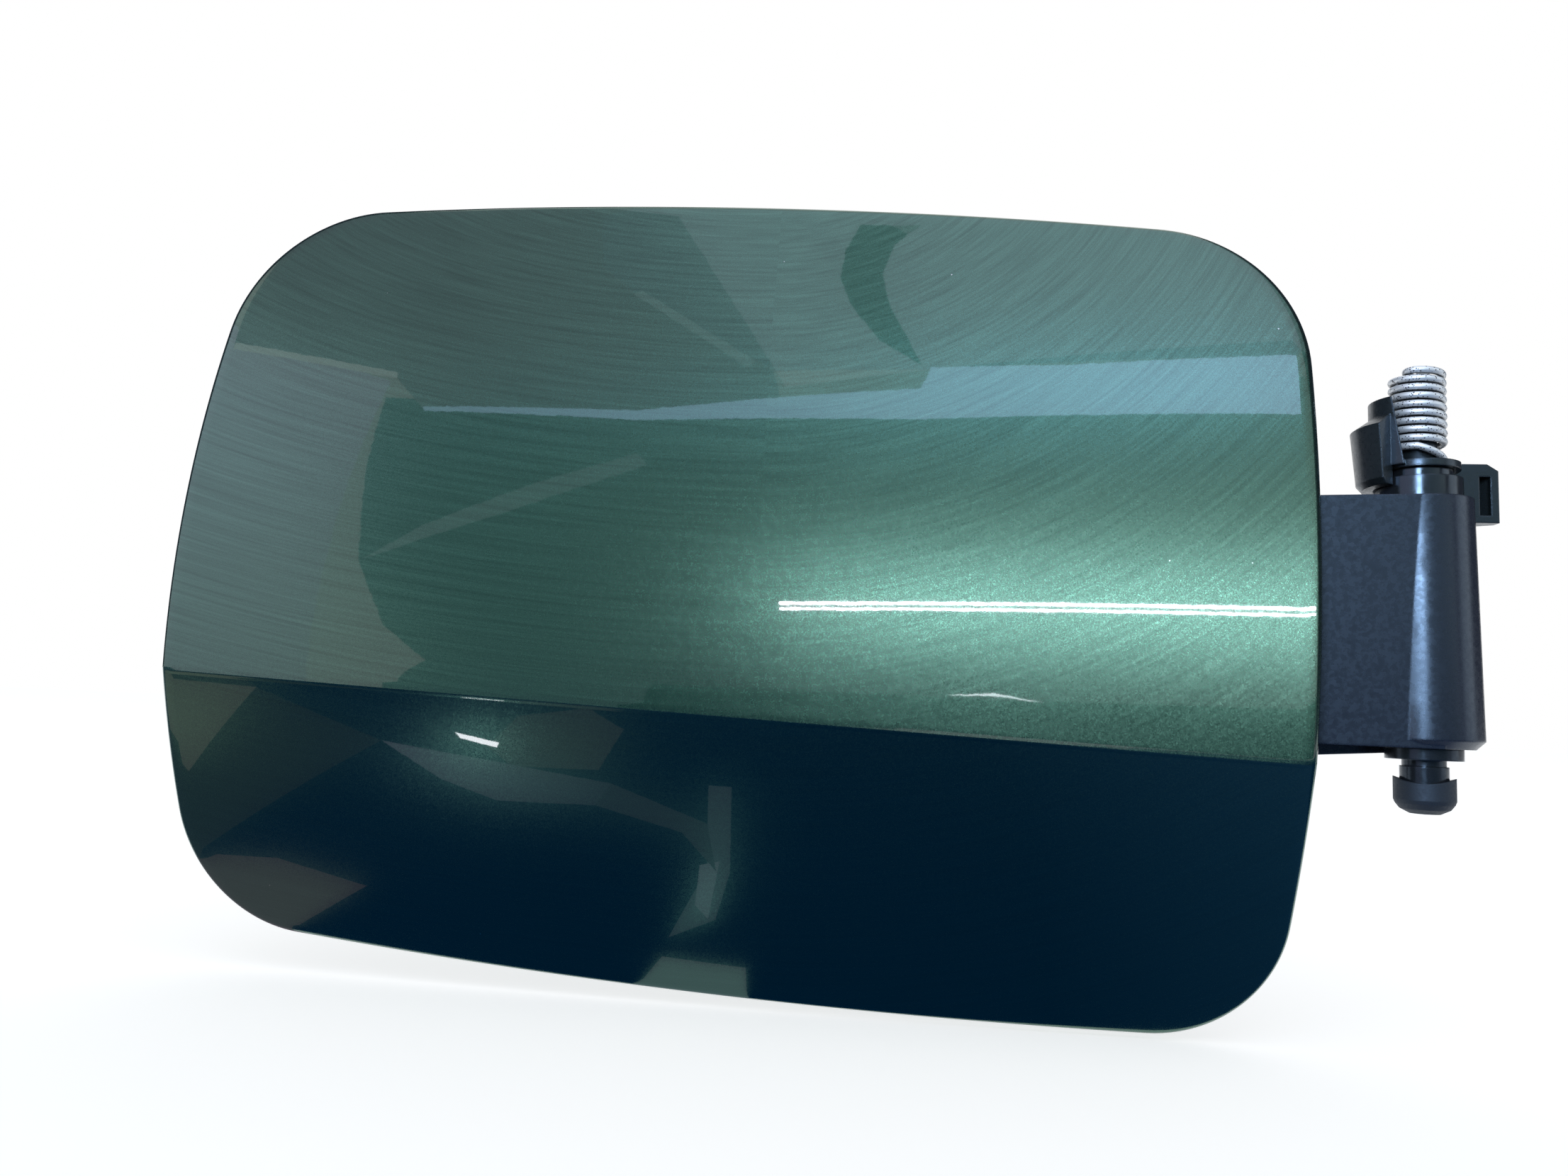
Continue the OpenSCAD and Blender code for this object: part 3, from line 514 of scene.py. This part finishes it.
wire(polish_sheen, (maths(polish_sheen, "DIVIDE", far_mm, given["Wide mm"]), polar.inputs["X"]),
     (maths(polish_sheen, "MULTIPLY", maths(polish_sheen, "ARCTAN2", eased, height), given["Long"]), polar.inputs["Y"]),
     (polar.outputs[0], streaks.inputs["Vector"]))
# Under the crease the painted sheen is weakened, because the lower field faces away from the lamps.
over_crease = add(polish_sheen, "ShaderNodeMapRange", From_Min=faded_mm * mm, From_Max=clear_mm * mm,
                  To_Min=faded_strength, To_Max=clear_strength)
half_wide = maths(polish_sheen, "MULTIPLY", given["Contrast"], over_crease.outputs[0])
spread = add(polish_sheen, "ShaderNodeMapRange", From_Min=noise_low, From_Max=noise_high)
wire(polish_sheen, (height, over_crease.inputs["Value"]), (streaks.outputs["Fac"], spread.inputs["Value"]),
     (maths(polish_sheen, "SUBTRACT", middle_tone, half_wide), spread.inputs["To Min"]),
     (maths(polish_sheen, "ADD", middle_tone, half_wide), spread.inputs["To Max"]),
     (spread.outputs[0], result["Mask"]))

# %% [markdown]
# ## Metallic green paint
# The real paint is three layers: a dark green base, fine aluminium flakes, and clear
# coat. The flakes make the colour bright towards a lamp and nearly black away from
# it, which a metal with a broad highlight does well. Each flake tilts the normal a
# little, so the broad highlight breaks up into sparkle, and the coat over it stays
# a smooth mirror. Fine rings left by a polishing cloth lie in the colour as a
# painted sheen: lighter arcs that stand in for their glint round a lamp's highlight.

# %% Paint material
flake_mm, flake_tilt, peel_mm, peel_height_mm = 0.2, 0.04, 1.7, 0.0012
flake_dull, flake_dullest = 0.21, 0.3
paint_dust, mid_grey = (0.5, 0.52, 0.52), (0.5, 0.5, 0.5)


def new_material(name):
    material = bpy.data.materials.new(name)
    material.use_nodes = True
    return material, material.node_tree, material.node_tree.nodes["Principled BSDF"]


def use_group(tree, group, **values):
    made = tree.nodes.new("ShaderNodeGroup")
    made.node_tree = group
    return give(made, **values)


def metallic_paint(name, deep, bright, coat):
    """Flakes under clear coat, from the deep colour to the bright one along the rings of painted sheen."""
    paint, tree, shader = new_material(name)
    place = add(tree, "ShaderNodeTexCoord").outputs["Object"]
    flakes = add(tree, "ShaderNodeTexVoronoi", feature="F1", Scale=1 / (flake_mm * mm))
    tilt = add(tree, "ShaderNodeVectorMath", operation="SUBTRACT")
    tilt.inputs[1].default_value = mid_grey
    lean = add(tree, "ShaderNodeVectorMath", operation="SCALE", Scale=flake_tilt)
    dull = add(tree, "ShaderNodeMapRange", To_Min=flake_dull, To_Max=flake_dullest)
    level = add(tree, "ShaderNodeNewGeometry")
    tilted = add(tree, "ShaderNodeVectorMath", operation="ADD")
    unit = add(tree, "ShaderNodeVectorMath", operation="NORMALIZE")
    wire(tree, (place, flakes.inputs["Vector"]), (flakes.outputs["Color"], tilt.inputs[0]),
         (tilt.outputs[0], lean.inputs[0]), (level.outputs["Normal"], tilted.inputs[0]),
         (lean.outputs[0], tilted.inputs[1]), (tilted.outputs[0], unit.inputs[0]),
         (unit.outputs[0], shader.inputs["Normal"]), (flakes.outputs["Color"], dull.inputs["Value"]),
         (dull.outputs[0], shader.inputs["Roughness"]))
    # The ring mask lightens the base colour in arcs: a painted sheen of the polishing marks.
    ring_sheen = use_group(tree, polish_sheen)
    specks = use_group(tree, dust, Spacing_mm=7.0, Share=0.35, Speck_mm=0.13)
    tone = mixed(tree, ring_sheen.outputs["Mask"], opaque(deep), opaque(bright))
    dusty = mixed(tree, specks.outputs["Mask"], tone, opaque(paint_dust))
    peel = add(tree, "ShaderNodeTexNoise", Scale=1 / (peel_mm * mm), Detail=1.0)
    ripple = add(tree, "ShaderNodeBump", Strength=1.0, Distance=peel_height_mm * mm)
    wire(tree, (dusty, shader.inputs["Base Color"]), (place, peel.inputs["Vector"]),
         (peel.outputs["Fac"], ripple.inputs["Height"]), (ripple.outputs[0], shader.inputs["Coat Normal"]))
    give(shader, Metallic=1.0, Coat_Weight=coat, Coat_Roughness=0.02, Coat_IOR=1.5)
    return paint


green_paint = metallic_paint("green_paint", deep=(0.038, 0.094, 0.072), bright=(0.073, 0.166, 0.127),
                             coat=1.0)
inner_paint = metallic_paint("inner_green_paint", deep=(0.035, 0.10, 0.082), bright=(0.05, 0.125, 0.10),
                             coat=0.35)
print("paints:", green_paint.name, "and", inner_paint.name)

# %% [markdown]
# ## Plastics, steel and rubber
# The arm and the lever are glass filled nylon: nearly black, satin, with a little
# cloudiness in the gloss and specks of dust. The bushes are smoother, the end cap is
# dull rubber. A bevel in the shading rounds their edges a little. The numbers of a
# finish are its gloss from low to high, the size and height of its grain, the share
# of dust and the radius of its edges.

# %% Black plastics and rubber
# The bluish specular tint is painted light: it colours every highlight on the plastics blue, as bluish window
# light would.
plastic_dust, sky_highlight_tint, grain_height_mm = (0.45, 0.45, 0.46), (0.6, 0.78, 1), 0.05


def plastic(name, color, gloss, grain_mm, bump, speck_share, edge_mm):
    made, tree, shader = new_material(name)
    low, high = gloss
    texture = use_group(tree, grain, Size_mm=grain_mm, Roughness_low=low, Roughness_high=high)
    specks = use_group(tree, dust, Spacing_mm=2.2, Share=speck_share, Speck_mm=0.05)
    dusty = mixed(tree, specks.outputs["Mask"], opaque(color), opaque(plastic_dust))
    raised = add(tree, "ShaderNodeBump", Strength=bump, Distance=grain_height_mm * mm)
    rounded = add(tree, "ShaderNodeBevel", samples=4, Radius=edge_mm * mm)
    wire(tree, (texture.outputs["Roughness"], shader.inputs["Roughness"]),
         (texture.outputs["Height"], raised.inputs["Height"]), (rounded.outputs[0], raised.inputs["Normal"]),
         (raised.outputs[0], shader.inputs["Normal"]), (dusty, shader.inputs["Base Color"]))
    # Painted highlight colour: the specular tint makes all reflections of the mouldings bluish.
    give(shader, Specular_IOR_Level=0.7, Specular_Tint=opaque(sky_highlight_tint))
    return made


arm_plastic = plastic("black_moulding", (0.010, 0.012, 0.020), gloss=(0.21, 0.33), grain_mm=0.9, bump=0.12,
                      speck_share=0.05, edge_mm=0.5)
lever_plastic = plastic("black_lever", (0.009, 0.012, 0.013), gloss=(0.24, 0.36), grain_mm=0.7, bump=0.2,
                        speck_share=0.15, edge_mm=0.4)
bush_plastic = plastic("black_bush", (0.008, 0.009, 0.011), gloss=(0.14, 0.26), grain_mm=1.2, bump=0.1,
                       speck_share=0.1, edge_mm=0.3)
cap_rubber = plastic("soft_black", (0.012, 0.013, 0.016), gloss=(0.5, 0.7), grain_mm=0.35, bump=0.5,
                     speck_share=0.3, edge_mm=0.3)
print("plastics:", [m.name for m in (arm_plastic, lever_plastic, bush_plastic, cap_rubber)])

# %% [markdown]
# The spring has a pale zinc flake coat with small dark chips, the other metals are
# plainer. Where surfaces lie close together, as between the turns of the spring,
# the colour is darkened as painted shade.

# %% Metals
painted_shade_color, shade_reach_mm, metal_grain_mm = (0.01, 0.01, 0.012), 0.7, 0.3
chip_spacing = 3


def metal(name, color, chip, gloss, chip_mm, chip_share):
    made, tree, shader = new_material(name)
    low, high = gloss
    texture = use_group(tree, grain, Size_mm=metal_grain_mm, Roughness_low=low, Roughness_high=high)
    chips = use_group(tree, dust, Spacing_mm=chip_mm * chip_spacing, Share=chip_share, Speck_mm=chip_mm)
    # Painted shade: ambient occlusion darkens the colour near close surfaces, as between the turns.
    gap_shade = add(tree, "ShaderNodeAmbientOcclusion", samples=6, Distance=shade_reach_mm * mm)
    worn = mixed(tree, chips.outputs["Mask"], opaque(color), opaque(chip))
    wire(tree, (texture.outputs["Roughness"], shader.inputs["Roughness"]),
         (mixed(tree, gap_shade.outputs["AO"], opaque(painted_shade_color), worn), shader.inputs["Base Color"]))
    give(shader, Metallic=0.7)
    return made


spring_coat = metal("coated_spring", (0.78, 0.8, 0.82), chip=(0.08, 0.08, 0.09), gloss=(0.4, 0.55),
                    chip_mm=0.12, chip_share=0.5)
pin_steel = metal("pin_steel", (0.5, 0.51, 0.52), chip=(0.3, 0.3, 0.3), gloss=(0.25, 0.4),
                  chip_mm=0.1, chip_share=0.2)
zinc_plate = metal("zinc_steel", (0.55, 0.55, 0.52), chip=(0.35, 0.35, 0.33), gloss=(0.3, 0.45),
                   chip_mm=0.15, chip_share=0.3)
rivet_metal = metal("rivet_aluminium", (0.72, 0.73, 0.74), chip=(0.5, 0.5, 0.5), gloss=(0.35, 0.5),
                    chip_mm=0.1, chip_share=0.2)
print("metals:", [m.name for m in (spring_coat, pin_steel, zinc_plate, rivet_metal)])

# %% [markdown]
# ## Dressing the nodes
# The record names a material slot for each node, and each slot gets one finish. The
# nodes themselves stay as they are.

# %% Give the CAD nodes their finishes
finishes = {"green_paint": green_paint, "primer_paint": inner_paint, "black_moulding": arm_plastic,
            "black_bush": bush_plastic, "black_lever": lever_plastic, "soft_black": cap_rubber,
            "pin_steel": pin_steel, "coated_spring": spring_coat, "zinc_steel": zinc_plate,
            "rivet_aluminium": rivet_metal}
for part in frame["record"]["subparts"]:
    node = frame["nodes"][part["node"]]
    for slot in node.material_slots:
        slot.material = finishes[part["material_slot"]]
print("dressed", len(frame["nodes"]), "nodes")

# %% [markdown]
# ## Lamps for the hinge
# A black moulding shows its shape by highlights alone. A lamp from the front draws
# the bright stripe down the round housing and one from the side its right flank.
# They light the hinge only, because the clear coat of the panel would mirror them
# as more streaks, and the tube lamps light the painted pieces only.

# %% Lamps for the hinge, and what each lamp lights
hinge_pieces = bpy.data.collections.new("hinge_pieces")
for name in ("hinge_arm", "hinge_pin", "upper_bush", "lower_bush", "end_cap", "spring_lever"):
    hinge_pieces.objects.link(frame["nodes"][name])
painted_pieces = bpy.data.collections.new("painted_pieces")
for name in ("outer_panel", "inner_panel"):
    painted_pieces.objects.link(frame["nodes"][name])
stripe_lamp = soft_box("stripe_lamp", -19, 16, 12, 18, radiance=42, tint=(0.62, 0.78, 1))
side_lamp = soft_box("side_lamp", 78, 18, 30, 50, radiance=1.2, tint=(0.9, 0.97, 1))
for lamp, lit in ((stripe_lamp, hinge_pieces), (side_lamp, hinge_pieces),
                  (tube_lamp, painted_pieces), (tube_lamp_low, painted_pieces)):
    lamp.light_linking.receiver_collection = lit

# %% [markdown]
# ## The outer skin
# The skin is one pressing: two curved fields that meet in a crease, and an edge that
# is rolled over and folded flat behind. Mirror paint shows every facet, so the mesh
# is made finer than the solid. A flat grid is spread to the outline by scaling its
# square rings, which keeps the middle row straight for the crease. Then each point
# drops back to the curved face, the crease is bevelled, and the border is extruded
# round the roll and in along the fold. Solidify gives the sheet its thickness.
# The outline is four round corners and four slightly bowed sides, all tangent, in
# millimetres from the middle of the crease.

# %% Outline of the skin
CORNERS = [(Vector((69.5, 66.0)), 27.0), (Vector((-75.5, 64.0)), 29.0),
           (Vector((-76.5, -22.0)), 25.0), (Vector((74.0, -25.5)), 22.0)]
BOWS = [1600.0, 420.0, 1600.0, 800.0]
ROLL = 1.2
full_turn, hair = 2 * math.pi, 1e-6


def arcs(inset):
    """The outline's arcs as (centre, radius, first angle, last angle), from the upper right corner on."""
    corners = [(centre, radius - inset) for centre, radius in CORNERS]
    bows = [radius - inset for radius in BOWS]
    centres = []
    for i, bow in enumerate(bows):
        (a, ra), (b, rb) = corners[i], corners[(i + 1) % 4]
        gap = b - a
        along = ((bow - ra) ** 2 - (bow - rb) ** 2 + gap.length_squared) / (2 * gap.length)
        side = math.sqrt((bow - ra) ** 2 - along ** 2)
        centres.append(a + gap.normalized() * along + Vector((-gap.y, gap.x)).normalized() * side)

    def angle(start, end):
        return math.atan2(end.y - start.y, end.x - start.x)

    made = []
    for i in range(4):
        before, after = (i + 3) % 4, (i + 1) % 4
        a0, a1 = angle(centres[before], corners[i][0]), angle(centres[i], corners[i][0])
        b1 = angle(centres[i], corners[after][0])
        made.append((corners[i][0], corners[i][1], a0, a1 + (full_turn if a1 < a0 else 0)))
        made.append((centres[i], bows[i], a1, b1 + (full_turn if b1 < a1 else 0)))
    return made


def reach(direction, inset):
    """How far the outline lies from the middle of the crease in a direction."""
    best = 0
    for centre, radius, first, last in arcs(inset):
        half = direction.dot(centre)
        far = half + math.sqrt(max(half ** 2 - centre.length_squared + radius ** 2, 0))
        hit = direction * far - centre
        turn = (math.atan2(hit.y, hit.x) - first) % full_turn
        if turn <= last - first + hair:
            best = max(best, far)
    return best


reached = [round(reach(Vector((side, 0)), 0), 2) for side in (1, -1)]
print("skin reaches", reached, "mm from its middle")

# %% [markdown]
# Across, both fields bend about one upright axis far behind the panel. Up and down,
# each field has an arc of its own, and the crease is where the two arcs meet.

# %% Face of the skin
FACE, UPPER, LOWER = 1300.0, (400.0, math.radians(1)), (340.0, math.radians(11))
half_grid, grid_sides = 60, {"across": 101, "up": 93, "down": 48}
probe_across, probe_up = 0.1, 0.05


def ring_radius(w):
    """Radius of the face about its upright axis, at a height over the crease."""
    (upper, lean_up), (lower, lean_down) = UPPER, LOWER
    over = math.sqrt(upper ** 2 - (w + upper * math.sin(lean_up)) ** 2) - upper * math.cos(lean_up)
    under = math.sqrt(lower ** 2 - (w - lower * math.sin(lean_down)) ** 2) - lower * math.cos(lean_down)
    return FACE + min(over, under)


def on_face(u, w):
    return Vector((u, FACE - math.sqrt(ring_radius(w) ** 2 - u ** 2), w))


def face_normal(u, w):
    """Direction square to the face, taken on the field's own side of the crease."""
    away = 1 if w >= 0 else -1
    along = on_face(u + probe_across, w) - on_face(u - probe_across, w)
    across = on_face(u, w + probe_up * away) - on_face(u, w)
    return along.cross(across * away).normalized()


bm = bmesh.new()
bmesh.ops.create_grid(bm, x_segments=2 * half_grid, y_segments=2 * half_grid, size=1)
for vert in bm.verts:
    ring = max(abs(vert.co.x), abs(vert.co.y))
    if ring > hair:
        side = grid_sides["up" if vert.co.y > 0 else "down"]
        toward_edge = Vector((vert.co.x * grid_sides["across"], vert.co.y * side)).normalized()
        spread = toward_edge * reach(toward_edge, ROLL) * ring
        vert.co = Vector((spread.x, 0, spread.y))
bmesh.ops.recalc_face_normals(bm, faces=bm.faces)
print("grid of", len(bm.faces), "faces spread to the outline")

# %% [markdown]
# Two cuts, a millimetre over and under the crease, hold its round edge narrow when
# the surface is shaded smooth.

# %% Curve and crease
crease_bevel, crease_cut, weld, on_crease = 0.42, 1.0, 0.01, 1e-5
for vert in bm.verts:
    vert.co = on_face(vert.co.x, vert.co.z)
crease = [e for e in bm.edges if all(abs(v.co.z) < on_crease for v in e.verts)]
bmesh.ops.bevel(bm, geom=crease, offset=crease_bevel, offset_type="OFFSET", segments=5, profile=0.5,
                affect="EDGES", material=-1, clamp_overlap=True)
for height in (crease_cut, -crease_cut):
    bmesh.ops.bisect_plane(bm, geom=bm.verts[:] + bm.edges[:] + bm.faces[:], plane_co=(0, 0, height),
                           plane_no=(0, 0, 1))
bmesh.ops.remove_doubles(bm, verts=bm.verts, dist=weld)
if sum(f.normal.y for f in bm.faces) > 0:
    bmesh.ops.reverse_faces(bm, faces=bm.faces)
print("crease of", len(crease), "edges bevelled,", len(bm.faces), "faces")

# %% [markdown]
# Every point of the border remembers where it started and which way is out. The rows
# that follow are placed from these two: half a circle round the roll, then straight
# in behind the face for the fold.

# %% Roll the border over and fold it in
roll_rows, fold_insets, angle_slack = 8, (2, 4, 6, 7.6, 8), 0.01


def border_step(border, place):
    """Extrudes the border by one row and puts each new point where place says."""
    grown = bmesh.ops.extrude_edge_only(bm, edges=border)["geom"]
    verts = {g for g in grown if isinstance(g, bmesh.types.BMVert)}
    for vert in verts:
        vert.co = place(vert)
    return [g for g in grown if isinstance(g, bmesh.types.BMEdge) and all(v in verts for v in g.verts)]


def outward(point):
    """Direction square to the outline, in the panel's plane, at a point of its border."""
    flat = Vector((point.x, point.z))
    found = []
    for centre, radius, first, last in arcs(ROLL):
        out = flat - centre
        turned = (math.atan2(out.y, out.x) - first + angle_slack) % full_turn
        if turned <= last - first + 2 * angle_slack:
            found.append((abs(out.length - radius), out.normalized()))
    normal = min(found, key=lambda hit: hit[0])[1]
    return Vector((normal.x, 0, normal.y))


border = [e for e in bm.edges if e.is_boundary]
root = bm.verts.layers.float_vector.new("root")
way = bm.verts.layers.float_vector.new("way")
for vert in {v for e in border for v in e.verts}:
    vert[root], vert[way] = vert.co, outward(vert.co)


def rolled(angle):
    def place(vert):
        normal = face_normal(vert[root].x, vert[root].z)
        out = (vert[way] - normal * vert[way].dot(normal)).normalized()
        return vert[root] + ROLL * (out * math.sin(angle) - normal * (1 - math.cos(angle)))
    return place


def folded(inset):
    def place(vert):
        u, w = vert[root].x - vert[way].x * (inset - ROLL), vert[root].z - vert[way].z * (inset - ROLL)
        return on_face(u, w) - face_normal(u, w) * 2 * ROLL
    return place


for i in range(1, roll_rows + 1):
    border = border_step(border, rolled(math.pi * i / roll_rows))
for inset in fold_insets:
    border = border_step(border, folded(inset))
print("rolled and folded:", len(bm.faces), "faces")

# %% [markdown]
# The mesh so far is in millimetres about its own middle. It is scaled and moved to
# its place in the part, where the panel leans by a little over two degrees.

# %% Place the skin in the part
sheet_mm = 0.8
panel_at_mm, panel_lean_degrees = Vector((-118, -17, 8)), 2.3


def finish_piece(name, bm, material, body, place=Matrix.Identity(4)):
    """Turns a mesh in progress, in mm, into a piece at the origin that may ride on a body."""
    bmesh.ops.transform(bm, matrix=place @ Matrix.Scale(mm, 4), verts=bm.verts)
    piece = linked_object(name, bm)
    piece.data.polygons.foreach_set("use_smooth", [True] * len(piece.data.polygons))
    piece.data.materials.append(material)
    if body:
        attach(piece, body)
    return piece


def box_mm(piece):
    return [round(c / mm, 1) for corner in (piece.bound_box[0], piece.bound_box[6]) for c in corner]


panel_lean = Matrix.Rotation(math.radians(panel_lean_degrees), 4, "Y")
panel_place = Matrix.Translation(panel_at_mm * mm) @ panel_lean
skin = finish_piece("painted_skin", bm, green_paint, "flap", panel_place)
wall = skin.modifiers.new("sheet", "SOLIDIFY")
wall.thickness, wall.offset = sheet_mm * mm, -1
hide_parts("outer_panel")
painted_pieces.objects.link(skin)
print("skin box in mm:", box_mm(skin))

# %% [markdown]
# ## The torsion spring
# Nine turns of 1.25 mm wire, wound left-handed, touch almost. Spinning a circle
# round the axis while it rises makes the coil exactly. A short faster spin drops the
# last part of a turn to the flange, and a small spin bends the top end in towards
# the slot of the pin. On the real flap the turns twist with the flap.

# %% Wind the spring
COIL, WIRE, TOP, PITCH, TURNS = 3.875, 1.25, 71.375, 1.47, 9
start, steps_a_turn = math.radians(-112), 36
axis_foot = (0, 0, 0)
bm = bmesh.new()
ring = bmesh.ops.create_circle(bm, cap_ends=False, segments=16, radius=WIRE / 2)["verts"]
bmesh.ops.rotate(bm, cent=axis_foot, matrix=Matrix.Rotation(math.pi / 2, 3, "X"), verts=ring)
bmesh.ops.translate(bm, vec=(COIL, 0, TOP - TURNS * PITCH), verts=ring)
bmesh.ops.rotate(bm, cent=axis_foot, matrix=Matrix.Rotation(start, 3, "Z"), verts=ring)


def spin_on(edges, centre, degrees, rise, steps):
    """Goes on with the wire from an open end round an upright axis, rising so much a step."""
    verts = list(dict.fromkeys(v for e in edges for v in e.verts))
    grown = bmesh.ops.spin(bm, geom=edges + verts, cent=centre, axis=(0, 0, 1), angle=math.radians(degrees),
                           steps=steps, dvec=(0, 0, rise), use_merge=False, use_duplicate=False)["geom_last"]
    return [e for e in grown if isinstance(e, bmesh.types.BMEdge)]


top_end = spin_on(bm.edges[:], axis_foot, -360 * TURNS, PITCH / steps_a_turn, steps_a_turn * TURNS)
low_end = [e for e in bm.edges if e.is_boundary and e not in set(top_end)]
print("coil of", len(bm.faces), "faces; open ends", len(top_end), "and", len(low_end))

# %% [markdown]
# Both ends go on from the coil: the leg down to the flange, the tang in to the pin.

# %% Bend the spring's ends
leg_degrees, leg_rise, leg_steps = 100, -2.6, 12
tang_degrees, tang_radius, tang_steps = -110, 1.6, 8
leg = spin_on(low_end, axis_foot, leg_degrees, leg_rise / leg_steps, leg_steps)
tang_centre = Vector((math.cos(start), math.sin(start), 0)) * (COIL - tang_radius)
tang = spin_on(top_end, tang_centre, tang_degrees, 0, tang_steps)
bmesh.ops.holes_fill(bm, edges=leg + tang, sides=0)
bmesh.ops.recalc_face_normals(bm, faces=bm.faces)
spring = finish_piece("wound_spring", bm, spring_coat, None)
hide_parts("torsion_spring")
hinge_pieces.objects.link(spring)
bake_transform(spring)
print("spring box in mm:", box_mm(spring))
